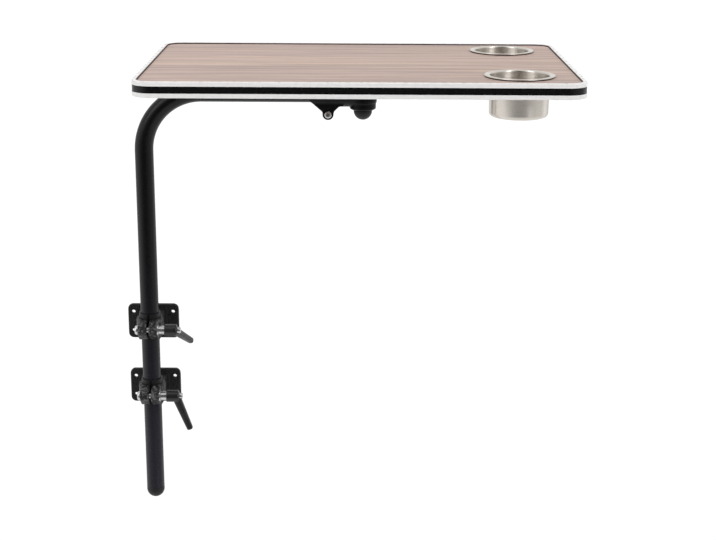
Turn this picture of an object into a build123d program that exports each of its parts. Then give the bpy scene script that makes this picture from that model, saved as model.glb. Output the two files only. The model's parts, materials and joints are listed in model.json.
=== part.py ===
from build123d import *
import os
from collections import namedtuple
from math import cos, pi, radians, sin

# Camper table on a single bent pole, held in two wall brackets.
# Frame: +X along the arm, +Y into the wall, +Z up, all sizes in millimetres.
# Origin: centre of the lower bracket's back face, straight behind the pole's axis.

# Fits
running_gap = 0.05
bolt_play = 0.2
cup_play = 0.6
cap_gap = 0.3

# Table top
table_width = 600.0
table_depth = 400.0
table_corner = 28.0
board_thickness = 18.0
edge_thickness = 6.0
edge_lip = 2.0
edge_drop = 1.5
edge_round = 1.2
infill_height = 9.3
infill_depth = 2.4
infill_recess = 0.4
spine_height = 3.0
spine_depth = 9.0
seal_thickness = 1.2
seal_height = 1.7

# Cup holders
cup_diameter = 81.0
cup_depth = 54.0
cup_wall = 0.9
cup_base_round = 6.0
cup_mouth_round = 2.0
cup_rim_width = 7.4
cup_rim_height = 2.4
cup_from_edge = 84.0
cup_from_side = 76.0

# Pole
pole_diameter = 27.0
pole_wall = 2.0
bend_radius = 85.0
arm_height = 462.0
pole_below_origin = 151.0
foot_skirt = 4.0
plug_depth = 15.0
arm_plug_head = 3.0

# Wall brackets
bracket_spacing = 104.0
plate_width = 77.0
plate_height = 54.0
plate_thickness = 6.0
plate_corner = 8.0
plate_edge_round = 1.8
fixing_hole = 5.5
fixing_spacing_x = 60.0
fixing_spacing_z = 30.0
neck_length = 18.0
neck_base = 40.0
neck_waist = 26.0
collar_wall = 5.0
collar_rise = 11.5
collar_fall = 20.0
top_lead = 16.5
bottom_lead = 13.0
chin_width = 30.0
chin_height = 6.5
bolt_rise = 7.5
ear_width = 29.0
lobe_radius = 8.0
clamp_slit = 3.0
bush_wall = 1.5
bush_lip = 0.75
bush_lip_height = 8.0

# Clamp bolts and washers
wall_bolt_diameter = 8.0
wall_bolt_head = 14.0
wall_bolt_head_height = 4.4
wall_bolt_socket = 5.0
table_bolt_diameter = 6.0
table_bolt_head = 10.5
table_bolt_head_height = 3.3
table_bolt_socket = 4.0
bolt_socket_share = 0.6
bolt_engagement = 11.9
washer_diameter = 17.0
washer_thickness = 1.6

# Clamp levers
insert_diameter = 13.0
insert_collar = 8.9
insert_neck_diameter = 9.6
insert_neck = 5.0
spline_teeth = 12
spline_tip_diameter = 12.0
spline_root_diameter = 10.4
spline_length = 4.0
spline_play = 0.1
hub_diameter = 18.0
hub_length = 18.5
hub_round = 1.5
hub_web = 2.0
spring_pocket_diameter = 10.2
spring_diameter = 7.6
spring_wire = 0.8
spring_turns = 2.5
screw_diameter = 5.0
screw_grip = 3.5
screw_head_diameter = 9.0
screw_head_height = 5.0
screw_socket = 3.0
screw_standoff = 0.5
arm_root = 13.8
arm_slope = 21.0
arm_reach = 53.5
arm_root_width = 13.0
arm_root_thickness = 11.0
arm_tip_width = 9.0
arm_tip_thickness = 9.0
arm_tip_round = 2.4
arm_edge_flat = 1.0
upper_lever_angle = 54.0
lower_lever_angle = 0.0
table_lever_angle = -135.0

# Swivel bracket and pivot
pivot_reach = 317.0
pivot_off_centre = 6.0
arm_collar_wall = 6.0
ear_extra_drop = 1.5
bolt_to_pivot = 50.0
ear_lead = 32.4
ear_tail = 16.2
lead_shoulder = 4.4
ear_neck = 3.6
saddle_drop = 17.4
saddle_round = 6.0
boss_diameter = 40.0
boss_skirt_diameter = 37.6
boss_foot_diameter = 27.6
boss_rise = 0.5
boss_drop = 5.1
boss_skirt_height = 11.8
boss_foot_height = 2.8
arm_end_wall = 4.0
pivot_plate_diameter = 100.0
pivot_plate_thickness = 4.0
pivot_screw_circle_diameter = 80.0
pivot_screw_count = 4
pivot_screw_diameter = 4.0
pivot_screw_head = 8.0
pivot_screw_head_depth = 2.4
pivot_screw_taper = 40.0
pivot_screw_length = 16.0
stud_diameter = 16.0
stud_thread_diameter = 10.0
stud_end = 1.0
friction_disc_thickness = 2.0
pivot_washer_thickness = 1.5
pivot_nut_width = 16.0
pivot_nut_height = 5.0
pivot_cap_diameter = 26.6
pivot_cap_wall = 1.6
pivot_cap_height = 13.5

# Places worked out from the sizes above
pole_radius = pole_diameter / 2
bush_radius = pole_radius + bush_wall
collar_radius = bush_radius + collar_wall
bolt_reach = collar_radius + lobe_radius
pole_y = -(plate_thickness + neck_length + collar_radius)
bolt_y = pole_y - bolt_reach
ear_face = ear_width / 2
arm_collar_radius = pole_radius + arm_collar_wall
table_bolt_x = pivot_reach - bolt_to_pivot
table_bolt_z = arm_height - arm_collar_radius - lobe_radius - ear_extra_drop
boss_top = arm_height + arm_collar_radius + boss_rise
boss_bottom = arm_height - arm_collar_radius - boss_drop
arm_end = pivot_reach - boss_diameter / 2 - arm_end_wall - arm_plug_head
board_bottom = boss_top + friction_disc_thickness + pivot_plate_thickness
board_top = board_bottom + board_thickness
table_x = pivot_reach - pivot_off_centre
cup_x = table_x + table_width / 2 - cup_from_edge
cup_radius = cup_diameter / 2
cup_y = table_depth / 2 - cup_from_side
infill_middle = (board_bottom - edge_drop + board_top + edge_lip) / 2
spine_middle = board_bottom + board_thickness / 2

Bolt = namedtuple("Bolt", "diameter head head_height socket")
wall_bolt = Bolt(wall_bolt_diameter, wall_bolt_head, wall_bolt_head_height, wall_bolt_socket)
table_bolt = Bolt(table_bolt_diameter, table_bolt_head, table_bolt_head_height, table_bolt_socket)


def rod(radius, start, end):
    """Round bar along X, from start to end."""
    return extrude(Plane.YZ.offset(start) * Circle(radius), amount=end - start)


def hexagon(width, start, end):
    """Hexagon bar along X, given by its width across flats."""
    section = RegularPolygon(radius=width / 2, side_count=6, major_radius=False)
    return extrude(Plane.YZ.offset(start) * section, amount=end - start)


def post(radius, low, high):
    """Round bar along Z, from low to high."""
    return extrude(Plane.XY.offset(low) * Circle(radius), amount=high - low)


# Wall brackets

def wall_bracket():
    """Casting: plate, neck, split collar and ears, as the side outline crossed with plan and front."""
    top = bolt_rise + collar_rise
    bottom = bolt_rise - collar_fall
    back = Polyline(
        (0, top),
        (pole_y - top_lead, top),
        (pole_y - bottom_lead, bottom),
        (0, bottom),
        close=True,
    )
    lobe = Pos(bolt_y, bolt_rise) * Circle(lobe_radius)
    side = make_hull(back.edges() + lobe.edges())
    neck = Polygon(
        (-neck_waist / 2, pole_y),
        (neck_waist / 2, pole_y),
        (neck_base / 2, -plate_thickness),
        (-neck_base / 2, -plate_thickness),
        align=None,
    )
    ear_length = bolt_reach + lobe_radius
    plan = Pos(0, pole_y) * Circle(collar_radius) + neck
    plan += Pos(0, pole_y - ear_length / 2) * Rectangle(ear_width, ear_length)
    front = Polygon(
        (-plate_width / 2, top),
        (-collar_radius, bottom + chin_height),
        (-chin_width / 2, bottom),
        (chin_width / 2, bottom),
        (collar_radius, bottom + chin_height),
        (plate_width / 2, top),
        align=None,
    )
    tall = plate_height + collar_rise + collar_fall
    body = extrude(plan, amount=tall, both=True)
    body &= extrude(Plane.YZ * side, amount=plate_width, both=True)
    body &= extrude(Plane.XZ * front, amount=2 * ear_length - pole_y)
    plate = extrude(
        Plane.XZ * RectangleRounded(plate_width, plate_height, plate_corner),
        amount=plate_thickness,
    )
    plate = fillet(plate.edges().group_by(Axis.Y)[0], plate_edge_round)
    bracket = plate + body
    holes = Plane.XZ * GridLocations(fixing_spacing_x, fixing_spacing_z, 2, 2)
    bracket -= [
        spot * Cylinder(fixing_hole / 2, 3 * plate_thickness) for spot in holes
    ]
    bracket -= Pos(0, pole_y) * post(bush_radius + running_gap, -tall, tall)
    slit = Pos(0, pole_y - ear_length) * Box(clamp_slit, 2 * ear_length, 2 * tall)
    bracket -= slit
    bracket -= Pos(0, bolt_y, bolt_rise) * rod(
        wall_bolt.diameter / 2 + bolt_play, -ear_width, ear_width
    )
    return bracket


def pole_bush():
    """Split plastic bush with a flange that stands on the collar, in the bracket's frame."""
    collar_top = bolt_rise + collar_rise
    top = collar_top + bush_lip_height
    bottom = bolt_rise - collar_fall
    bush = post(bush_radius, bottom, top)
    bush += post(bush_radius + bush_lip, collar_top, top)
    bush -= post(pole_radius + running_gap, bottom, top)
    slot = Pos(0, -bush_radius, (top + bottom) / 2)
    bush -= slot * Box(clamp_slit, bush_radius, 2 * (top - bottom))
    return Pos(0, pole_y) * bush


# Clamp hardware, made along X about the bolt's axis, bolt head on the -X side

insert_start = ear_face + washer_thickness
hub_start = insert_start + insert_collar
spline_start = hub_start + insert_neck
spline_end = spline_start + spline_length
web_start = spline_end + cap_gap
pocket_start = web_start + hub_web
hub_end = hub_start + hub_length
screw_seat = hub_end + screw_standoff


def clamp_bolt(bolt):
    """Button head bolt with a hexagon socket."""
    head_face = -ear_face - bolt.head_height
    head = rod(bolt.head / 2, head_face, -ear_face)
    dome = (bolt.head - bolt.diameter) / 2
    head = fillet(head.edges().group_by(Axis.X)[0], dome)
    head -= hexagon(bolt.socket, head_face, head_face + bolt_socket_share * bolt.head_height)
    return head + rod(bolt.diameter / 2, -ear_face, insert_start + bolt_engagement)


def nut_washer(bolt):
    """Plain washer between the ear and the lever's insert."""
    washer = rod(washer_diameter / 2, ear_face, insert_start)
    return washer - rod(bolt.diameter / 2 + bolt_play, ear_face, insert_start)


def spline_section(play):
    """Toothed outline of the lever's spline, grown outward by the play."""
    points = []
    for corner in range(2 * spline_teeth):
        diameter = spline_tip_diameter if corner % 2 == 0 else spline_root_diameter
        angle = pi * corner / spline_teeth
        reach = diameter / 2 + play
        points.append((reach * cos(angle), reach * sin(angle)))
    return Polygon(*points, align=None)


def lever_insert(bolt):
    """Threaded nut with a bright collar and a splined end."""
    nut = rod(insert_diameter / 2, insert_start, hub_start)
    nut += rod(insert_neck_diameter / 2, hub_start, spline_start)
    nut += extrude(Plane.YZ.offset(spline_start) * spline_section(0), amount=spline_length)
    thread_end = insert_start + bolt_engagement + cap_gap
    nut -= rod(bolt.diameter / 2 + running_gap, insert_start, thread_end)
    nut -= rod(screw_diameter / 2, spline_end - screw_grip, spline_end)
    return nut


def lever_handle():
    """Hub and sloping arm, hollow for the spline, the spring and the screw."""
    hub = rod(hub_diameter / 2, hub_start, hub_end)
    hub = fillet(hub.edges().group_by(Axis.X)[-1], hub_round)
    slope = radians(arm_slope)
    along = Vector(sin(slope), 0, -cos(slope))
    across = (cos(slope), 0, sin(slope))
    root = Vector(hub_start + arm_root, 0, 0)
    length = arm_reach / cos(slope)
    root_plane = Plane(origin=root, x_dir=across, z_dir=along)
    tip_plane = Plane(origin=root + along * length, x_dir=across, z_dir=along)
    root_section = root_plane * RectangleRounded(
        arm_root_width, arm_root_thickness, arm_root_thickness / 2 - arm_edge_flat
    )
    tip_section = tip_plane * RectangleRounded(
        arm_tip_width, arm_tip_thickness, arm_tip_thickness / 2 - arm_edge_flat
    )
    arm = loft([root_section.face(), tip_section.face()])
    arm = fillet(arm.faces().sort_by(Axis.Z)[0].edges(), arm_tip_round)
    handle = hub + arm
    handle -= rod(spline_tip_diameter / 2 + spline_play, hub_start, spline_start)
    handle -= extrude(
        Plane.YZ.offset(spline_start) * spline_section(spline_play),
        amount=web_start - spline_start,
    )
    handle -= rod(screw_diameter / 2 + bolt_play, web_start, pocket_start)
    handle -= rod(spring_pocket_diameter / 2, pocket_start, 2 * hub_end)
    return handle


def lever_spring():
    """Compression coil of square wire between the hub's web and the screw's head."""
    height = screw_seat - pocket_start - spring_wire
    coil = Helix(
        pitch=height / spring_turns, height=height, radius=(spring_diameter - spring_wire) / 2
    )
    wire = Plane(origin=coil @ 0, z_dir=coil % 0) * Rectangle(spring_wire, spring_wire)
    spring = sweep(wire, path=coil, is_frenet=True)
    return Pos(pocket_start + spring_wire / 2, 0, 0) * Rot(0, 90, 0) * spring


def lever_screw():
    """Retaining screw through the hub into the insert."""
    head_end = screw_seat + screw_head_height
    head = rod(screw_head_diameter / 2, screw_seat, head_end)
    head = fillet(head.edges().group_by(Axis.X)[-1], screw_head_height / 4)
    head -= hexagon(screw_socket, head_end - screw_head_height / 2, head_end)
    return head + rod(screw_diameter / 2, spline_end - screw_grip, screw_seat)


def clamp_set(prefix, place, bolt, lever_angle):
    """The hardware of one clamp, set in its place, with the lever at an angle from straight down."""
    turn = Rot(lever_angle, 0, 0)
    return {
        prefix + "_clamp_bolt": place * clamp_bolt(bolt),
        prefix + "_nut_washer": place * nut_washer(bolt),
        prefix + "_lever_insert": place * turn * lever_insert(bolt),
        prefix + "_lever_handle": place * turn * lever_handle(),
        prefix + "_lever_spring": place * turn * lever_spring(),
        prefix + "_lever_screw": place * turn * lever_screw(),
    }


# Pole

def pole_tube():
    """Upright, bend and arm in one tube."""
    foot = (0, pole_y, -pole_below_origin)
    bend_start = (0, pole_y, arm_height - bend_radius)
    bend_end = (bend_radius, pole_y, arm_height)
    path = Line(foot, bend_start)
    path += TangentArc(bend_start, bend_end, tangent=(0, 0, 1))
    path += Line(bend_end, (arm_end, pole_y, arm_height))
    section = Circle(pole_radius) - Circle(pole_radius - pole_wall)
    return sweep(Plane(origin=foot, z_dir=(0, 0, 1)) * section, path=path)


def foot_cap():
    """Domed cap with its plug in the pole's lower end."""
    plug = post(pole_radius - pole_wall, 0, plug_depth)
    skirt = post(pole_radius, -foot_skirt, 0)
    dome = Pos(0, 0, -foot_skirt) * Sphere(pole_radius)
    dome &= post(pole_diameter, -foot_skirt - pole_diameter, -foot_skirt)
    return Pos(0, pole_y, -pole_below_origin) * (plug + skirt + dome)


def arm_plug():
    """Flat plug in the arm's end."""
    plug = rod(pole_radius - pole_wall, -plug_depth, 0)
    plug += rod(pole_radius, 0, arm_plug_head)
    return Pos(arm_end, pole_y, arm_height) * plug


# Swivel bracket and pivot

def swivel_bracket():
    """Casting: split collar round the arm, wedge ears below it and the pivot boss at its end."""
    lead_end = table_bolt_x - ear_lead
    tail_end = table_bolt_x + ear_tail
    saddle = arm_height - saddle_drop
    shoulder = table_bolt_z + ear_neck
    side = Polygon(
        (lead_end, arm_height),
        (lead_end, arm_height - lead_shoulder),
        (table_bolt_x - lobe_radius, shoulder),
        (table_bolt_x - lobe_radius, table_bolt_z),
        (table_bolt_x + lobe_radius, table_bolt_z),
        (table_bolt_x + lobe_radius, shoulder),
        (tail_end, saddle),
        (tail_end + saddle_round, saddle),
        (tail_end + saddle_round, arm_height),
        align=None,
    )
    side = fillet(side.vertices().sort_by_distance((tail_end, saddle))[0], saddle_round)
    side += Pos(table_bolt_x, table_bolt_z) * Circle(lobe_radius)
    ears = Pos(0, pole_y) * extrude(Plane.XZ * side, amount=ear_face, both=True)
    collar = Pos(0, pole_y, arm_height) * rod(arm_collar_radius, lead_end, pivot_reach)
    slope = Polygon(
        (lead_end, arm_height - lead_shoulder),
        (table_bolt_x - lobe_radius, shoulder),
        (lead_end, shoulder),
        align=None,
    )
    collar -= Pos(0, pole_y) * extrude(Plane.XZ * slope, amount=arm_collar_radius, both=True)
    skirt_top = boss_bottom + boss_skirt_height
    boss = Polygon(
        (0, boss_bottom),
        (boss_foot_diameter / 2, boss_bottom),
        (boss_skirt_diameter / 2, boss_bottom + boss_foot_height),
        (boss_skirt_diameter / 2, skirt_top),
        (boss_diameter / 2, skirt_top),
        (boss_diameter / 2, boss_top),
        (0, boss_top),
        align=None,
    )
    boss = revolve(Plane.XZ * boss, axis=Axis.Z)
    bracket = ears + collar + Pos(pivot_reach, pole_y) * boss
    bore_end = arm_end + arm_plug_head + cap_gap
    bracket -= Pos(0, pole_y, arm_height) * rod(
        pole_radius + running_gap, lead_end, bore_end
    )
    slit_height = arm_height - table_bolt_z + 2 * lobe_radius
    slit = Pos((lead_end + tail_end) / 2, pole_y, arm_height - slit_height / 2)
    bracket -= slit * Box(tail_end - lead_end, clamp_slit, slit_height)
    cross = Pos(table_bolt_x, pole_y, table_bolt_z) * Rot(0, 0, 90)
    bracket -= cross * rod(table_bolt.diameter / 2 + bolt_play, -ear_width, ear_width)
    bracket -= Pos(pivot_reach, pole_y) * post(
        stud_diameter / 2 + running_gap, boss_bottom, boss_top
    )
    return bracket


plate_face = boss_top + friction_disc_thickness
nut_top = boss_bottom - running_gap - pivot_washer_thickness
nut_bottom = nut_top - pivot_nut_height
screw_spots = PolarLocations(pivot_screw_circle_diameter / 2, pivot_screw_count, start_angle=45)


def pivot_plate():
    """Round plate under the board with its stud, countersunk for the screws."""
    plate = post(pivot_plate_diameter / 2, plate_face, board_bottom)
    plate += post(stud_diameter / 2, boss_bottom, plate_face)
    plate += post(stud_thread_diameter / 2, nut_bottom - stud_end, boss_bottom)
    for spot in screw_spots:
        plate -= spot * pivot_screw()
    return plate


def pivot_screw():
    """Countersunk screw, head flush with the plate's lower face."""
    head = extrude(
        Plane.XY.offset(plate_face) * Circle(pivot_screw_head / 2),
        amount=pivot_screw_head_depth,
        taper=pivot_screw_taper,
    )
    return head + post(pivot_screw_diameter / 2, plate_face, plate_face + pivot_screw_length)


def pivot_washer():
    """Washer between boss and nut; the cap is pressed on over its rim."""
    radius = pivot_cap_diameter / 2 - pivot_cap_wall - 2 * running_gap
    washer = post(radius, nut_top, nut_top + pivot_washer_thickness)
    return washer - post(stud_thread_diameter / 2, nut_top, boss_bottom)


def pivot_nut():
    """Hexagon nut on the stud's thread."""
    section = RegularPolygon(pivot_nut_width / 2, 6, major_radius=False)
    section -= Circle(stud_thread_diameter / 2)
    return extrude(Plane.XY.offset(nut_bottom) * section, amount=pivot_nut_height)


def pivot_cap():
    """Hollow domed cap over the pivot nut."""
    outer = pivot_cap_diameter / 2
    inner = outer - pivot_cap_wall
    top = boss_bottom - cap_gap
    middle = top - pivot_cap_height + outer
    shell = post(outer, middle, top) + Pos(0, 0, middle) * Sphere(outer)
    shell -= post(inner, middle, top) + Pos(0, 0, middle) * Sphere(inner)
    return shell & post(outer, middle - 2 * outer, top)


# Table top

def outline(inset):
    """Rounded outline of the top, moved in from its outer edge."""
    return RectangleRounded(
        table_width - 2 * inset, table_depth - 2 * inset, table_corner - inset
    )


def band(outer_inset, inner_inset, low, high):
    """Ring that follows the table's edge between two insets and two heights."""
    section = outline(outer_inset) - outline(inner_inset)
    return extrude(Plane.XY.offset(low) * section, amount=high - low)


def spine_ring(reach):
    """Space of the edge's spine, reaching into the board."""
    return band(
        edge_thickness,
        edge_thickness + reach,
        spine_middle - spine_height / 2,
        spine_middle + spine_height / 2,
    )


table_place = Pos(table_x, pole_y)
cup_places = {
    "front": Pos(cup_x, pole_y - cup_y, board_top),
    "rear": Pos(cup_x, pole_y + cup_y, board_top),
}


def table_board():
    """Board with the groove for the edge's spine, the cup holes and the screws' pilot holes."""
    board = extrude(Plane.XY.offset(board_bottom) * outline(edge_thickness), amount=board_thickness)
    board = table_place * (board - spine_ring(spine_depth + cap_gap))
    for place in cup_places.values():
        board -= place * Cylinder(cup_radius + cup_play, 3 * board_thickness)
    for spot in screw_spots:
        board -= Pos(pivot_reach, pole_y) * spot * pivot_screw()
    return board


def edge_profile():
    """Light edge with a raised lip, an outer channel and a spine in the board."""
    low = board_bottom - edge_drop
    high = board_top + edge_lip
    edge = band(0, edge_thickness, low, high)
    rims = edge.edges().group_by(Axis.Z)
    edge = fillet(rims[0] + rims[-1], edge_round)
    edge -= band(
        0, infill_depth, infill_middle - infill_height / 2, infill_middle + infill_height / 2
    )
    return table_place * (edge + spine_ring(spine_depth))


def edge_infill():
    """Black strip that fills the edge's channel."""
    return table_place * band(
        infill_recess,
        infill_depth,
        infill_middle - infill_height / 2,
        infill_middle + infill_height / 2,
    )


def lip_seal():
    """Black strip on the board, along the inside of the lip."""
    return table_place * band(
        edge_thickness, edge_thickness + seal_thickness, board_top, board_top + seal_height
    )


def cup_holder():
    """Drawn cup with rounded base and mouth and a turned down rim that rests on the board."""
    inner = cup_radius - cup_wall
    outer = cup_radius + cup_rim_width
    under = cup_rim_height - cup_wall
    floor = cup_wall - cup_depth
    section = Polygon(
        (0, -cup_depth),
        (cup_radius, -cup_depth),
        (cup_radius, under),
        (outer - cup_wall, under),
        (outer - cup_wall, 0),
        (outer, 0),
        (outer, cup_rim_height),
        (inner, cup_rim_height),
        (inner, floor),
        (0, floor),
        align=None,
    )
    rounds = {
        (cup_radius, -cup_depth): cup_base_round,
        (cup_radius, under): cup_mouth_round - cup_wall,
        (outer, cup_rim_height): cup_wall,
        (inner, cup_rim_height): cup_mouth_round,
        (inner, floor): cup_base_round - cup_wall,
    }
    for corner, radius in rounds.items():
        section = fillet(section.vertices().sort_by_distance(corner)[0], radius)
    return revolve(Plane.XZ * section, axis=Axis.Z)


# Assembly

upper = Pos(0, 0, bracket_spacing)
clamp_place = Pos(0, bolt_y, bolt_rise)
pivot = Pos(pivot_reach, pole_y)
parts = {
    "upper_wall_bracket": upper * wall_bracket(),
    "lower_wall_bracket": wall_bracket(),
    "upper_bush": upper * pole_bush(),
    "lower_bush": pole_bush(),
    "pole": pole_tube(),
    "pole_foot_cap": foot_cap(),
    "arm_end_plug": arm_plug(),
    "swivel_bracket": swivel_bracket(),
    "pivot_plate": pivot * pivot_plate(),
    "pivot_plate_screws": Compound(
        children=[pivot * spot * pivot_screw() for spot in screw_spots]
    ),
    "pivot_friction_disc": pivot * (
        post(boss_diameter / 2, boss_top, plate_face)
        - post(stud_diameter / 2 + running_gap, boss_top, plate_face)
    ),
    "pivot_washer": pivot * pivot_washer(),
    "pivot_nut": pivot * pivot_nut(),
    "pivot_cap": pivot * pivot_cap(),
    "table_board": table_board(),
    "edge_profile": edge_profile(),
    "edge_infill": edge_infill(),
    "lip_seal": lip_seal(),
}
for name, place in cup_places.items():
    parts[name + "_cup_holder"] = place * cup_holder()
parts.update(clamp_set("upper", upper * clamp_place, wall_bolt, upper_lever_angle))
parts.update(clamp_set("lower", clamp_place, wall_bolt, lower_lever_angle))
table_clamp_place = Pos(table_bolt_x, pole_y, table_bolt_z) * Rot(0, 0, 90)
parts.update(clamp_set("table", table_clamp_place, table_bolt, table_lever_angle))

os.makedirs("parts", exist_ok=True)
for name, shape in parts.items():
    export_step(shape, "parts/" + name + ".step")
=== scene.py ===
import json
import math

import bmesh
import bpy
from mathutils import Matrix, Vector


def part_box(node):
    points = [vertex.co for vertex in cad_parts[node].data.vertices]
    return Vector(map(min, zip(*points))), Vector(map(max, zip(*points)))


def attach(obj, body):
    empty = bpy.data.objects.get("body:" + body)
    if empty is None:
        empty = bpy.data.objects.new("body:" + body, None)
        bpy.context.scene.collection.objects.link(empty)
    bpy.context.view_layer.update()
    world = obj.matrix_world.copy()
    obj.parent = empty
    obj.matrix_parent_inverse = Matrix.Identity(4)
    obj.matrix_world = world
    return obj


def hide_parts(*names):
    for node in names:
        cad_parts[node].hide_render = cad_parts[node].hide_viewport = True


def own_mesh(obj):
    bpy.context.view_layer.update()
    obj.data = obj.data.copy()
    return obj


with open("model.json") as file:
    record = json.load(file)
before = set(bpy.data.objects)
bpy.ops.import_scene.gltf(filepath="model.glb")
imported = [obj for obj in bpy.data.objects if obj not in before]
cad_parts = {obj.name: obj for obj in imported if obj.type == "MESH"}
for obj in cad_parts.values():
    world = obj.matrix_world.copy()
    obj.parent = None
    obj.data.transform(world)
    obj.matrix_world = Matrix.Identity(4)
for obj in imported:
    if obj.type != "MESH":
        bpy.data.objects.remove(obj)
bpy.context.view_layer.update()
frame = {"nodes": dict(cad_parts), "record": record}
nodes = frame["nodes"]
record = frame["record"]
body_of = {node: body for body, names in record["behaviour"]["bodies"].items() for node in names}
slot_of = {part["node"]: part["material_slot"] for part in record["subparts"]}
scene = bpy.context.scene
scene.view_settings.view_transform = "Standard"


# Materials

noise_range = (0.25, 0.75)
edge_samples = 6

# Sockets of Blender's Mix node that a mix of colours uses
mix_factor, mix_a, mix_b, mix_result = 0, 6, 7, 2


class Tree:
    """A node tree with short calls for the nodes used here."""

    def __init__(self, tree):
        self.tree = tree
        self.coord = tree.nodes.new("ShaderNodeTexCoord").outputs["Object"]

    def node(self, kind, **values):
        made = self.tree.nodes.new(kind)
        for key, value in values.items():
            setattr(made, key, value)
        return made

    def link(self, out, into):
        self.tree.links.new(out, into)

    def place(self, axis):
        """Object coordinate along one axis."""
        made = self.node("ShaderNodeSeparateXYZ")
        self.link(self.coord, made.inputs[0])
        return made.outputs[axis]

    def stretch(self, scale, vector=None):
        """Object coordinates, multiplied per axis."""
        made = self.node("ShaderNodeMapping")
        made.inputs["Scale"].default_value = scale
        self.link(self.coord if vector is None else vector, made.inputs["Vector"])
        return made.outputs["Vector"]

    def noise(self, scale, detail=3.0, rough=0.5, vector=None):
        """Noise over the object coordinates, or over another vector."""
        made = self.node("ShaderNodeTexNoise")
        made.inputs["Scale"].default_value = scale
        made.inputs["Detail"].default_value = detail
        made.inputs["Roughness"].default_value = rough
        self.link(self.coord if vector is None else vector, made.inputs["Vector"])
        return made.outputs["Fac"]

    def cells(self, scale):
        """Rounded grains: distance to the nearest cell's middle."""
        made = self.node("ShaderNodeTexVoronoi", feature="SMOOTH_F1")
        made.inputs["Scale"].default_value = scale
        self.link(self.coord, made.inputs["Vector"])
        return made.outputs["Distance"]

    def math(self, operation, a, b=0.0):
        made = self.node("ShaderNodeMath", operation=operation)
        for socket, value in zip(made.inputs, (a, b)):
            if isinstance(value, (int, float)):
                socket.default_value = value
            else:
                self.link(value, socket)
        return made.outputs[0]

    def span(self, value, low, high, to_low=0.0, to_high=1.0):
        """Value between low and high, spread smoothly between two others."""
        made = self.node("ShaderNodeMapRange", interpolation_type="SMOOTHSTEP")
        limits = ("From Min", "From Max", "To Min", "To Max")
        for socket, limit in zip(limits, (low, high, to_low, to_high)):
            made.inputs[socket].default_value = limit
        self.link(value, made.inputs["Value"])
        return made.outputs["Result"]

    def ramp(self, fac, *stops):
        """Colour ramp; each stop is a place and a colour."""
        made = self.node("ShaderNodeValToRGB")
        points = made.color_ramp.elements
        while len(points) < len(stops):
            points.new(0.5)
        for point, (place, value) in zip(points, stops):
            point.position = place
            point.color = (*value, 1)
        self.link(fac, made.inputs["Fac"])
        return made.outputs["Color"]

    def mix(self, fac, a, b, mode="MIX"):
        """Two colours mixed by a factor; each may be a colour or an output."""
        made = self.node("ShaderNodeMix", data_type="RGBA", blend_type=mode)
        for index, value in ((mix_factor, fac), (mix_a, a), (mix_b, b)):
            if isinstance(value, float):
                made.inputs[index].default_value = value
            elif isinstance(value, tuple):
                made.inputs[index].default_value = (*value, 1)
            else:
                self.link(value, made.inputs[index])
        return made.outputs[mix_result]


class Shader(Tree):
    """A material with a Principled shader."""

    def __init__(self, name, color, rough, metal=0.0, specular=0.5):
        self.mat = bpy.data.materials.new(name)
        self.mat.use_nodes = True
        super().__init__(self.mat.node_tree)
        self.bsdf = self.tree.nodes["Principled BSDF"]
        self.bsdf.inputs["Base Color"].default_value = (*color, 1)
        self.bsdf.inputs["Roughness"].default_value = rough
        self.bsdf.inputs["Metallic"].default_value = metal
        self.bsdf.inputs["Specular IOR Level"].default_value = specular

    def color(self, out):
        self.link(out, self.bsdf.inputs["Base Color"])

    def rough(self, fac, low, high):
        """Roughness from low to high over the range that a noise mostly takes."""
        self.link(self.span(fac, *noise_range, low, high), self.bsdf.inputs["Roughness"])

    def bump(self, height, strength, distance):
        """One more layer of bump under the shader's normal."""
        made = self.node("ShaderNodeBump")
        made.inputs["Strength"].default_value = strength
        made.inputs["Distance"].default_value = distance
        self.link(height, made.inputs["Height"])
        socket = self.bsdf.inputs["Normal"]
        if socket.is_linked:
            self.link(socket.links[0].from_socket, made.inputs["Normal"])
        self.link(made.outputs["Normal"], socket)

    def soft_edges(self, radius):
        """Edges that catch light as if rounded by this radius."""
        made = self.node("ShaderNodeBevel", samples=edge_samples)
        made.inputs["Radius"].default_value = radius
        self.link(made.outputs["Normal"], self.bsdf.inputs["Normal"])


# Heights between which painted light from below makes the pole lighter, and depths between which the
# brackets' painted glints set in
underlight_from, underlight_to = 0.3, -0.1
glint_from, glint_to = -0.02, -0.032


def pole_coat():
    """Satin powder coat: faint orange peel, rub marks along the tube, and painted light from below that
    makes it lighter and bluer towards the foot.
    """
    s = Shader("pole_powder_coat", (0.0026, 0.0026, 0.0034), 0.3, specular=0.27)
    rubs = s.noise(1.0, 4, 0.6, s.stretch((260, 260, 6)))
    # Painted light: the lower pole is coloured lighter and bluer, as if lit from below
    painted_underlight = s.span(s.place("Z"), underlight_from, underlight_to)
    coat = s.mix(painted_underlight, (0.001, 0.001, 0.0014), (0.01, 0.0098, 0.016))
    rubbed = s.mix(1.0, coat, (1.6, 1.6, 1.6), "MULTIPLY")
    s.color(s.mix(s.span(rubs, 0.5, 0.75), coat, rubbed))
    s.rough(s.noise(160, 4), 0.25, 0.34)
    s.bump(s.noise(1100, 2), 0.1, 0.0001)
    return s.mat


def worn_edges(s):
    """Share of paint worn off, in patches along outer edges."""
    outer = s.node("ShaderNodeNewGeometry").outputs["Pointiness"]
    return s.math("MULTIPLY", s.span(outer, 0.54, 0.62), s.span(s.noise(350, 4), 0.4, 0.65))


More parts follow.
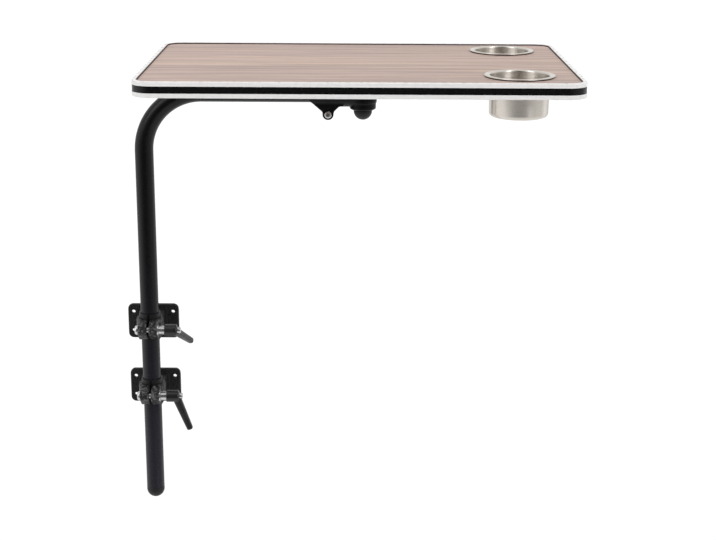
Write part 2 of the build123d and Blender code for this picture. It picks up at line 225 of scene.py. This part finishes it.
def cast_coat():
    """Black paint over a sand casting: small pits, worn edges, and pale specks in front of the plate,
    which are painted glints where light falls on the collar's grain.
    """
    s = Shader("cast_black_paint", (0.003, 0.003, 0.0034), 0.45, specular=0.36)
    # Painted glints: pale specks only on the front of the collar, where light falls on it
    glint_zone = s.span(s.place("Y"), glint_from, glint_to)
    painted_glints = s.math("MULTIPLY", glint_zone, s.span(s.noise(260, 3, 0.65), 0.49, 0.6))
    paint = s.mix(painted_glints, (0.0018, 0.0018, 0.0022), (0.11, 0.11, 0.111))
    s.color(s.mix(worn_edges(s), paint, (0.035, 0.035, 0.036)))
    s.rough(s.noise(420, 5), 0.34, 0.54)
    s.bump(s.noise(380, 3, 0.6), 1.0, 0.0018)
    s.bump(s.cells(900), 0.5, 0.0004)
    return s.mat


def swivel_shaded_coat():
    """Black paint over the swivel bracket's smoother casting, its colour darkened as painted shade from
    the table above it.
    """
    # Painted shade: base colour darker than the wall brackets' paint, for the table's shade over the
    # swivel
    s = Shader("swivel_black_paint_shaded", (0.0014, 0.0014, 0.0016), 0.4, specular=0.16)
    s.color(s.mix(worn_edges(s), (0.0014, 0.0014, 0.0016), (0.03, 0.03, 0.031)))
    s.rough(s.noise(420, 5), 0.3, 0.46)
    s.bump(s.noise(600, 3, 0.6), 0.6, 0.0006)
    return s.mat


def black_plastic():
    """Matt moulding with a fine spark-eroded texture."""
    s = Shader("black_moulded_plastic", (0.005, 0.005, 0.0055), 0.45, specular=0.35)
    s.soft_edges(0.0005)
    s.rough(s.noise(300, 3), 0.42, 0.56)
    s.bump(s.noise(2600, 2), 0.25, 0.0001)
    return s.mat


def lever_plastic():
    """Satin dark grey nylon, handled smooth in places."""
    s = Shader("lever_dark_grey", (0.007, 0.007, 0.0075), 0.32, specular=0.5)
    s.color(s.mix(s.span(s.noise(90, 3), 0.4, 0.7), (0.005, 0.005, 0.0055), (0.009, 0.009, 0.0095)))
    s.rough(s.noise(140, 4), 0.28, 0.42)
    s.bump(s.noise(2400, 2), 0.2, 0.0001)
    return s.mat


def bright_zinc(axis):
    """Zinc plated steel with turning marks round the given axis, and painted shade that darkens it in
    crevices and close to other parts.
    """
    s = Shader("bright_zinc_" + axis, (0.58, 0.58, 0.585), 0.25, metal=1.0)
    s.soft_edges(0.0003)
    along, around = 9000, 120
    crevice_shade_reach = 0.004
    marks = s.noise(1.0, 2, vector=s.stretch([along if axis == letter else around for letter in "xyz"]))
    plating = s.mix(s.noise(260, 3), (0.5, 0.5, 0.51), (0.66, 0.66, 0.655))
    # Painted shade: the plating turns dark grey in crevices and close to other parts
    painted_crevice_shade = s.node("ShaderNodeAmbientOcclusion", samples=edge_samples)
    painted_crevice_shade.inputs["Distance"].default_value = crevice_shade_reach
    s.color(s.mix(s.span(painted_crevice_shade.outputs["AO"], 0.15, 0.8), (0.22, 0.22, 0.22), plating))
    s.rough(s.noise(500, 3), 0.18, 0.34)
    s.bump(marks, 0.12, 0.00005)
    return s.mat


def brushed_stainless():
    """Drawn and brushed steel, its lines running round the cup's own axis."""
    line_scale = 5200.0
    s = Shader("brushed_stainless", (0.685, 0.645, 0.59), 0.3, metal=1.0)
    s.bsdf.inputs["Anisotropic"].default_value = 0.95
    s.bsdf.inputs["Anisotropic Rotation"].default_value = 0.25
    around = s.node("ShaderNodeTangent", direction_type="RADIAL", axis="Z")
    s.link(around.outputs["Tangent"], s.bsdf.inputs["Tangent"])
    radius = s.node("ShaderNodeVectorMath", operation="LENGTH")
    s.link(s.stretch((1, 1, 0)), radius.inputs[0])
    along = s.math("ADD", radius.outputs["Value"], s.place("Z"))
    lines = s.node("ShaderNodeTexNoise", noise_dimensions="4D")
    lines.inputs["Scale"].default_value = 1.0
    lines.inputs["Detail"].default_value = 3.0
    s.link(s.stretch((60, 60, 60)), lines.inputs["Vector"])
    s.link(s.math("MULTIPLY", along, line_scale), lines.inputs["W"])
    s.color(s.mix(lines.outputs["Fac"], (0.64, 0.6, 0.547), (0.735, 0.692, 0.635)))
    s.rough(lines.outputs["Fac"], 0.26, 0.34)
    s.bump(lines.outputs["Fac"], 0.02, 0.00003)
    return s.mat


def laminate():
    """Wood decor, straight grained along X: broad beige and pink-grey bands, streaks and fine pores."""
    wander_width = 0.012
    s = Shader("ash_laminate", (0.5, 0.4, 0.35), 0.5, specular=0.15)
    wander = s.node("ShaderNodeTexNoise")
    wander.inputs["Scale"].default_value = 5.0
    wander.inputs["Detail"].default_value = 2.0
    s.link(s.stretch((0.6, 1.6, 1)), wander.inputs["Vector"])
    shift = s.node("ShaderNodeVectorMath", operation="MULTIPLY_ADD")
    s.link(wander.outputs["Color"], shift.inputs[0])
    shift.inputs[1].default_value = (0.0, wander_width, 0.0)
    s.link(s.coord, shift.inputs[2])
    grain = shift.outputs[0]
    bands = s.noise(1.0, 3, 0.55, s.stretch((1.6, 62, 1), grain))
    streaks = s.noise(1.0, 5, 0.6, s.stretch((5, 300, 1), grain))
    pores = s.noise(1.0, 3, 0.6, s.stretch((32, 1500, 1), grain))
    band_tone = s.ramp(bands, (0.32, (0.44, 0.333, 0.308)), (0.68, (0.545, 0.405, 0.33)))
    streak_tone = s.mix(s.span(streaks, 0.32, 0.68), (0.65, 0.645, 0.655), (1.26, 1.265, 1.255))
    tone = s.mix(1.0, band_tone, streak_tone, "MULTIPLY")
    pore_tone = s.mix(1.0, tone, (0.66, 0.63, 0.61), "MULTIPLY")
    s.color(s.mix(s.span(pores, 0.58, 0.7), tone, pore_tone))
    s.rough(streaks, 0.42, 0.56)
    s.bump(pores, 0.12, 0.0001)
    return s.mat


def pale_moulding():
    """Pale extruded edge: faint lines along its length."""
    s = Shader("pale_edge", (0.81, 0.799, 0.791), 0.3, specular=0.4)
    die = s.noise(1.0, 3, vector=s.stretch((3, 3, 3800)))
    s.color(s.mix(s.noise(25, 3), (0.795, 0.784, 0.777), (0.825, 0.814, 0.807)))
    s.rough(s.noise(120, 4), 0.22, 0.36)
    s.bump(die, 0.08, 0.00008)
    return s.mat


def black_strip():
    """Black insert of the edge, satin with faint die lines."""
    s = Shader("black_strip", (0.0009, 0.0011, 0.0011), 0.25, specular=0.26)
    die = s.noise(1.0, 3, vector=s.stretch((3, 3, 3200)))
    s.color(s.mix(s.noise(60, 4), (0.0006, 0.0008, 0.0008), (0.0012, 0.0014, 0.0014)))
    s.rough(s.noise(220, 3), 0.2, 0.3)
    s.bump(die, 0.05, 0.0001)
    return s.mat


def brown_seal_and_shadow():
    """Dark brown seal inside the lip; its dark colour is also a painted shadow line along the lip's inner
    side.
    """
    # Painted shadow: the seal's brown also stands for the shade inside the lip
    s = Shader("brown_seal_and_shadow", (0.03, 0.022, 0.018), 0.6, specular=0.3)
    s.color(s.mix(s.noise(150, 3), (0.04, 0.029, 0.025), (0.065, 0.049, 0.042)))
    s.bump(s.noise(1800, 2), 0.2, 0.0001)
    return s.mat


pole_finish = pole_coat()
cast_finish = cast_coat()
plastic_finish = black_plastic()
lever_finish = lever_plastic()
cup_finish = brushed_stainless()
edge_finish = pale_moulding()
strip_finish = black_strip()
seal_and_shadow_finish = brown_seal_and_shadow()
zinc = {axis: bright_zinc(axis) for axis in "xyz"}
finish_of_slot = {
    "black_paint": cast_finish,
    "black_plastic": plastic_finish,
    "lever_plastic": lever_finish,
    "stainless_cup": cup_finish,
    "wood_decor": laminate(),
    "light_edge": edge_finish,
    "black_rubber": strip_finish,
}


def turning_axis(name):
    """Axis that a steel piece was turned about."""
    if name.startswith("pivot"):
        return "z"
    return "y" if name.startswith("table") else "x"


for name, node in nodes.items():
    node.data.materials.clear()
    steel = slot_of[name] == "bright_steel"
    node.data.materials.append(zinc[turning_axis(name)] if steel else finish_of_slot[slot_of[name]])


# Pieces that stand for CAD nodes

all_smooth = 180
smooth_factor = 0.5
joined_within = 1e-7


def added(name, mesh, finish, crease=40):
    """A piece with its finish, smooth except at edges sharper than the crease."""
    piece = bpy.data.objects.new(name, mesh)
    scene.collection.objects.link(piece)
    mesh.materials.clear()
    mesh.materials.append(finish)
    mesh.shade_smooth()
    mesh.set_sharp_from_angle(angle=math.radians(crease))
    return piece


def stand_in(node, mesh, finish, crease=40):
    """A finer piece in a node's place, with the given finish."""
    piece = added(node + "_fine", mesh, finish, crease)
    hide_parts(node)
    return piece


def skin(name, rows, close_rows=True):
    """Mesh of quads through rows of points that each close on themselves; points that meet are joined."""
    form = bmesh.new()
    made = [[form.verts.new(point) for point in row] for row in rows]
    pairs = list(zip(made, made[1:]))
    if close_rows:
        pairs.append((made[-1], made[0]))
    for a, b in pairs:
        for i in range(len(a)):
            form.faces.new((a[i - 1], a[i], b[i], b[i - 1]))
    bmesh.ops.remove_doubles(form, verts=form.verts, dist=joined_within)
    bmesh.ops.recalc_face_normals(form, faces=form.faces)
    mesh = bpy.data.meshes.new(name)
    form.to_mesh(mesh)
    form.free()
    return mesh


def arc(middle, radius, start, end, steps=8):
    """Points of an arc in a section, angles in degrees."""
    points = []
    for step in range(steps + 1):
        angle = math.radians(start + (end - start) * step / steps)
        points.append((middle[0] + radius * math.cos(angle), middle[1] + radius * math.sin(angle)))
    return points


def lathe(name, section, segments=128):
    """Mesh turned about Z from a closed section of radius and height."""
    turns = [2 * math.pi * i / segments for i in range(segments)]
    rows = [[(r * math.cos(t), r * math.sin(t), z) for t in turns] for r, z in section]
    return skin(name, rows)


def rounded(node, voxel, passes, finish):
    """Copy of a node, remeshed and smoothed so that its edges are round, as cast or moulded."""
    copy = bpy.data.objects.new(node + "_copy", nodes[node].data.copy())
    scene.collection.objects.link(copy)
    remesh = copy.modifiers.new("remesh", "REMESH")
    remesh.mode = "VOXEL"
    remesh.voxel_size = voxel
    smooth = copy.modifiers.new("smooth", "SMOOTH")
    smooth.factor = smooth_factor
    smooth.iterations = passes
    mesh = bpy.data.meshes.new_from_object(copy.evaluated_get(bpy.context.evaluated_depsgraph_get()))
    bpy.data.objects.remove(copy)
    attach(stand_in(node, mesh, finish, crease=all_smooth), body_of[node])


cast_voxel, cast_passes = 0.0007, 6
lever_voxel, lever_passes = 0.0005, 8
for name in ("upper_wall_bracket", "lower_wall_bracket"):
    rounded(name, cast_voxel, cast_passes, cast_finish)
rounded("swivel_bracket", cast_voxel, cast_passes, swivel_shaded_coat())
for name in ("upper_lever_handle", "lower_lever_handle", "table_lever_handle"):
    rounded(name, lever_voxel, lever_passes, lever_finish)


# Pole: one tube with its bend

bend_radius = 0.085
tube_wall = 0.002
pole_low, pole_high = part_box("pole")
tube_radius = (pole_high.y - pole_low.y) / 2
tube_y = (pole_high.y + pole_low.y) / 2
arm_z = pole_high.z - tube_radius


def pole_stations(bend_steps=40):
    """Places along the tube's axis, each with the direction across it in the plane of the bend."""
    stations = [((0, pole_low.z), 180)]
    hub = (bend_radius, arm_z - bend_radius)
    for step in range(bend_steps + 1):
        angle = 180 - 90 * step / bend_steps
        stations.append((arc(hub, bend_radius, angle, angle, 1)[0], angle))
    stations.append(((pole_high.x, arm_z), 90))
    return stations


def tube_row(station, radius, segments=72):
    """Circle of points round the tube's axis at a station."""
    (x, z), angle = station
    out_x, out_z = math.cos(math.radians(angle)), math.sin(math.radians(angle))
    row = []
    for i in range(segments):
        turn = 2 * math.pi * i / segments
        reach = radius * math.cos(turn)
        row.append((x + reach * out_x, tube_y + radius * math.sin(turn), z + reach * out_z))
    return row


walk = pole_stations()
rows = [tube_row(station, tube_radius) for station in walk]
rows += [tube_row(station, tube_radius - tube_wall) for station in reversed(walk)]
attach(stand_in("pole", skin("pole_fine", rows), pole_finish), body_of["pole"])


# Foot cap and pivot cap, turned about Z

def turned(node, section, finish, segments=96):
    """A lathe piece set on a node's own axis; heights are those of the frame."""
    low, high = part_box(node)
    piece = stand_in(node, lathe(node + "_fine", section, segments), finish)
    piece.location = ((low.x + high.x) / 2, (low.y + high.y) / 2, 0)
    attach(piece, body_of[node])


dome_steps = 24
cap_low, cap_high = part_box("pole_foot_cap")
foot_z = cap_low.z + tube_radius
plug_radius = tube_radius - tube_wall
joint_groove = 0.0004
section = [(0, cap_high.z), (plug_radius, cap_high.z), (plug_radius, pole_low.z)]
section += [(tube_radius - joint_groove, pole_low.z), (tube_radius, pole_low.z - joint_groove)]
section += arc((0, foot_z), tube_radius, 0, -90, dome_steps)
turned("pole_foot_cap", section, plastic_finish)

dome_low, dome_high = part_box("pivot_cap")
dome_radius = (dome_high.x - dome_low.x) / 2
dome_wall = 0.0016
dome_z = dome_low.z + dome_radius
dome_inside = dome_radius - dome_wall
section = arc((0, dome_z), dome_radius, -90, 0, dome_steps)
section += [(dome_radius, dome_high.z), (dome_inside, dome_high.z)]
section += arc((0, dome_z), dome_inside, 0, -90, dome_steps)
turned("pivot_cap", section, plastic_finish)


# Cup holders: drawn cups with a rounded mouth and a beaded rim, on a thin dark gasket

cup_wall = 0.0009
cup_mouth_radius = 0.041
cup_base_radius = 0.0403
base_round = 0.006
mouth_round = 0.002
gasket_height = 0.0013
gasket_inset = 0.0005
bead_steps = 12
cup_segments = 192
board_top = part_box("table_board")[1].z


def cup_section(depth, rim_height, rim_radius):
    """Closed section of a cup, from the middle of its underside round to the middle of its floor."""
    inner = cup_mouth_radius - cup_wall
    base = cup_base_radius - base_round
    bead = (rim_height - gasket_height) / 2
    flare = inner + mouth_round
    points = [(0, -depth)]
    points += arc((base, base_round - depth), base_round, -90, 0)
    points += arc((flare, rim_height - mouth_round), mouth_round - cup_wall, 180, 90)
    points += arc((rim_radius - bead, gasket_height + bead), bead, -90, 90, bead_steps)
    points += arc((flare, rim_height - mouth_round), mouth_round, 90, 180, bead_steps)
    points += arc((base, base_round - depth), base_round - cup_wall, 0, -90)
    points.append((0, cup_wall - depth))
    return points


def gasket_section(outer):
    """Flat rubber ring between a cup's rim and the board, its outer edge rounded."""
    half = gasket_height / 2
    inner = cup_mouth_radius + gasket_inset
    return [(inner, 0)] + arc((outer - half, half), half, -90, 90) + [(inner, gasket_height)]


for name in ("front_cup_holder", "rear_cup_holder"):
    low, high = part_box(name)
    section = cup_section(board_top - low.z, high.z - board_top, (high.x - low.x) / 2)
    cup = stand_in(name, lathe(name + "_fine", section, cup_segments), cup_finish)
    cup.location = ((low.x + high.x) / 2, (low.y + high.y) / 2, board_top)
    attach(cup, body_of[name])
    section = gasket_section((high.x - low.x) / 2 - gasket_inset)
    mesh = lathe(name + "_gasket", section, cup_segments)
    gasket = added(name + "_gasket", mesh, strip_finish)
    gasket.location = cup.location
    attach(gasket, body_of[name])


# Table edge: moulding, black strip and seal carried round the rounded outline

corner_radius = 0.028
edge_thickness = 0.006
edge_round = 0.0012
channel_depth = 0.0024
spine_depth = 0.009
spine_height = 0.003
seal_thickness = 0.0012
rib_depth = 0.00012
rib_count = 4
rib_steps = 8
edge_low, edge_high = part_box("edge_profile")
strip_low, strip_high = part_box("edge_infill")
strip_recess = strip_low.x - edge_low.x
board_low, board_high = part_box("table_board")


def carried(name, section, corner_steps=20):
    """Mesh of a section of inset and height, carried round the table's outline."""
    middle = (edge_low + edge_high) / 2
    hub_x = edge_high.x - middle.x - corner_radius
    hub_y = edge_high.y - middle.y - corner_radius
    hubs = ((hub_x, hub_y), (-hub_x, hub_y), (-hub_x, -hub_y), (hub_x, -hub_y))
    rows = []
    for inset, z in section:
        row = []
        for quarter, (x, y) in enumerate(hubs):
            place = (middle.x + x, middle.y + y)
            corner = arc(place, corner_radius - inset, 90 * quarter, 90 * quarter + 90, corner_steps)
            row += [(px, py, z) for px, py in corner]
        rows.append(row)
    return skin(name, rows)


def moulding_section():
    """Pale edge: rounded faces, the strip's channel outside and the spine inside."""
    spine_middle = (board_low.z + board_high.z) / 2
    spine_top = spine_middle + spine_height / 2
    spine_bottom = spine_middle - spine_height / 2
    spine_end = edge_thickness + spine_depth
    points = arc((edge_round, edge_low.z + edge_round), edge_round, 270, 180)
    points += [(0, strip_low.z), (channel_depth, strip_low.z)]
    points += [(channel_depth, strip_high.z), (0, strip_high.z)]
    points += arc((edge_round, edge_high.z - edge_round), edge_round, 180, 90)
    points += arc((edge_thickness - edge_round, edge_high.z - edge_round), edge_round, 90, 0)
    points += [(edge_thickness, spine_top), (spine_end, spine_top)]
    points += [(spine_end, spine_bottom), (edge_thickness, spine_bottom)]
    points += arc((edge_thickness - edge_round, edge_low.z + edge_round), edge_round, 0, -90)
    return points


def strip_section():
    """Black strip with shallow ribs along its outer face."""
    height = strip_high.z - strip_low.z
    steps = rib_steps * rib_count
    points = [(channel_depth, strip_low.z)]
    for step in range(steps + 1):
        share = step / steps
        dip = rib_depth * (0.5 - 0.5 * math.cos(2 * math.pi * rib_count * share))
        points.append((strip_recess + rib_depth - dip, strip_low.z + height * share))
    points.append((channel_depth, strip_high.z))
    return points


seal_low, seal_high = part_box("lip_seal")
seal_round = seal_thickness / 2
seal_section = [(edge_thickness, seal_low.z), (edge_thickness, seal_high.z)]
seal_section += arc((edge_thickness + seal_round, seal_high.z - seal_round), seal_round, 90, 0)
seal_section.append((edge_thickness + seal_thickness, seal_low.z))
for name, section, finish in (
    ("edge_profile", moulding_section(), edge_finish),
    ("edge_infill", strip_section(), strip_finish),
    ("lip_seal", seal_section, seal_and_shadow_finish),
):
    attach(stand_in(name, carried(name + "_fine", section), finish), body_of[name])


# Lever springs: round wire, closed at both ends

wire = 0.0008
spring_turns = 3.5
end_turns = 0.5


def spring_rows(start, length, radius, axis, steps=24, ring=10):
    """Circles of points along a coil whose first and last half turns lie flat."""
    other = [i for i in range(3) if i != axis]
    count = int(steps * spring_turns)
    rows = []
    for step in range(count + 1):
        turns = step / steps
        share = (turns - end_turns) / (spring_turns - 2 * end_turns)
        along = wire / 2 + (length - wire) * min(max(share, 0), 1)
        angle = 2 * math.pi * turns
        row = []
        for i in range(ring):
            swing = 2 * math.pi * i / ring
            reach = radius - wire / 2 + wire / 2 * math.cos(swing)
            point = Vector(start)
            point[axis] += along + wire / 2 * math.sin(swing)
            point[other[0]] += reach * math.cos(angle)
            point[other[1]] += reach * math.sin(angle)
            row.append(point)
        rows.append(row)
    tip, root = (sum(row, Vector()) / ring for row in (rows[-1], rows[0]))
    return [[root] * ring, *rows, [tip] * ring]


for prefix in ("upper", "lower", "table"):
    name = prefix + "_lever_spring"
    axis = "xyz".index(turning_axis(name))
    low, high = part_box(name)
    start = (low + high) / 2
    start[axis] = low[axis]
    radius = (high.z - low.z) / 2
    rows = spring_rows(start, high[axis] - low[axis], radius, axis)
    coil = skin(name + "_fine", rows, close_rows=False)
    piece = stand_in(name, coil, zinc[turning_axis(name)])
    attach(piece, body_of[name])
    anchor = start.copy()
    anchor[axis] = high[axis]
    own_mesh(piece)


# Camera, as the photograph was taken: focal length in pixels, angles in radians

picture_width = 716
camera_place = (0.2989, -2.1433, 0.8056)
focal = 1470.9
yaw, pitch, roll = 0.00595, 0.28195, 0.006
ahead = Vector((math.sin(yaw) * math.cos(pitch), math.cos(yaw) * math.cos(pitch), -math.sin(pitch)))
level = Vector((math.cos(yaw), -math.sin(yaw), 0))
over = level.cross(ahead)
right = level * math.cos(roll) + over * math.sin(roll)
up = over * math.cos(roll) - level * math.sin(roll)
turn = Matrix((right, up, -ahead)).transposed().to_4x4()
lens = bpy.data.cameras.new("camera")
lens.lens = focal * lens.sensor_width / picture_width
camera = bpy.data.objects.new("camera", lens)
camera.matrix_world = Matrix.Translation(camera_place) @ turn
scene.collection.objects.link(camera)
scene.camera = camera


# Studio: white to the camera, with soft screens at the sides and little light from the front.
# Each ring lists azimuths in degrees, 0 towards the camera, with their brightness. Heights are the
# vertical part of a direction: the horizon's ring goes over into the sky's, that one into white
# overhead, and the horizon's into white below.

ring_heights = (0.05, 0.4)
overhead_heights = (0.82, 0.97)
below_heights = (-0.34, -0.52)
horizon = (
    (-180, 0.9), (-137, 0.9), (-134, 0.0), (-131, 0.85), (-112, 1.05), (-109, 0.0), (-106, 1.2),
    (-90, 1.2), (-70, 1.08), (-45, 0.55), (-20, 0.17), (0, 0.11), (25, 0.19), (55, 0.54), (72, 0.72),
    (92, 0.72), (103, 0.85), (112, 1.15), (125, 1.0), (143, 0.85), (146, 0.0), (149, 0.85), (180, 0.9),
)
sky = (
    (-180, 0.9), (-105, 0.9), (-75, 0.75), (-68, 0.7), (-64, 3.5), (-56, 3.1), (-34, 0.55), (-10, 0.05),
    (8, 0.05), (26, 0.6), (37, 4.2), (46, 4.2), (57, 1.0), (95, 0.9), (180, 0.9),
)


def ring_stops(ring):
    """Stops of a grey ramp that goes once round."""
    return [(0.5 + side / 360, (value,) * 3) for side, value in ring]


def studio_world():
    """World with the two rings of screens, white to the camera."""
    world = bpy.data.worlds.new("studio")
    world.use_nodes = True
    scene.world = world
    s = Tree(world.node_tree)
    way = s.node("ShaderNodeSeparateXYZ")
    s.link(s.node("ShaderNodeTexCoord").outputs["Generated"], way.inputs[0])
    azimuth = s.math("ARCTAN2", way.outputs["X"], s.math("MULTIPLY", way.outputs["Y"], -1.0))
    turn = s.math("ADD", s.math("DIVIDE", azimuth, 2 * math.pi), 0.5)
    low, high = (s.ramp(turn, *ring_stops(ring)) for ring in (horizon, sky))
    height = way.outputs["Z"]
    level = s.mix(s.span(height, *ring_heights), low, high)
    level = s.mix(s.span(height, *overhead_heights), level, (1.0, 1.0, 1.0))
    level = s.math("MAXIMUM", level, s.span(height, *below_heights))
    seen = s.node("ShaderNodeLightPath").outputs["Is Camera Ray"]
    back = s.tree.nodes["Background"]
    back.inputs["Color"].default_value = (1, 1, 1, 1)
    s.link(s.math("MAXIMUM", level, seen), back.inputs["Strength"])


studio_world()


def area(name, place, aim, size, power):
    """Rectangular lamp at a place, turned to what it aims at."""
    data = bpy.data.lights.new(name, "AREA")
    data.shape = "RECTANGLE"
    data.size, data.size_y = size
    data.energy = power
    lamp = bpy.data.objects.new(name, data)
    lamp.location = place
    lamp.rotation_euler = (Vector(aim) - Vector(place)).to_track_quat("-Z", "Y").to_euler()
    scene.collection.objects.link(lamp)


area("left_top", place=(-0.7, -0.9, 2.1), aim=(0.3, 0, 0.4), size=(1.2, 1.0), power=3)

floor_z = -0.4
floor_reach = 20
corners = [(x * floor_reach, y * floor_reach, floor_z) for x, y in ((-1, -1), (1, -1), (1, 1), (-1, 1))]
mesh = bpy.data.meshes.new("floor")
mesh.from_pydata(corners, [], [(0, 1, 2, 3)])
floor = bpy.data.objects.new("floor", mesh)
floor.visible_glossy = False
scene.collection.objects.link(floor)


def floor_white():
    """White floor that shows a faint shadow and otherwise meets the white background."""
    lit_tone = (0.85, 0.85, 0.85)
    seen_tone = (0.22, 0.22, 0.22)
    seen_glow = 0.8
    s = Shader("floor_white", lit_tone, 0.7, specular=0.2)
    seen = s.node("ShaderNodeLightPath").outputs["Is Camera Ray"]
    s.bsdf.inputs["Emission Color"].default_value = (1, 1, 1, 1)
    s.link(s.math("MULTIPLY", seen, seen_glow), s.bsdf.inputs["Emission Strength"])
    s.color(s.mix(seen, lit_tone, seen_tone))
    return s.mat


floor.data.materials.append(floor_white())
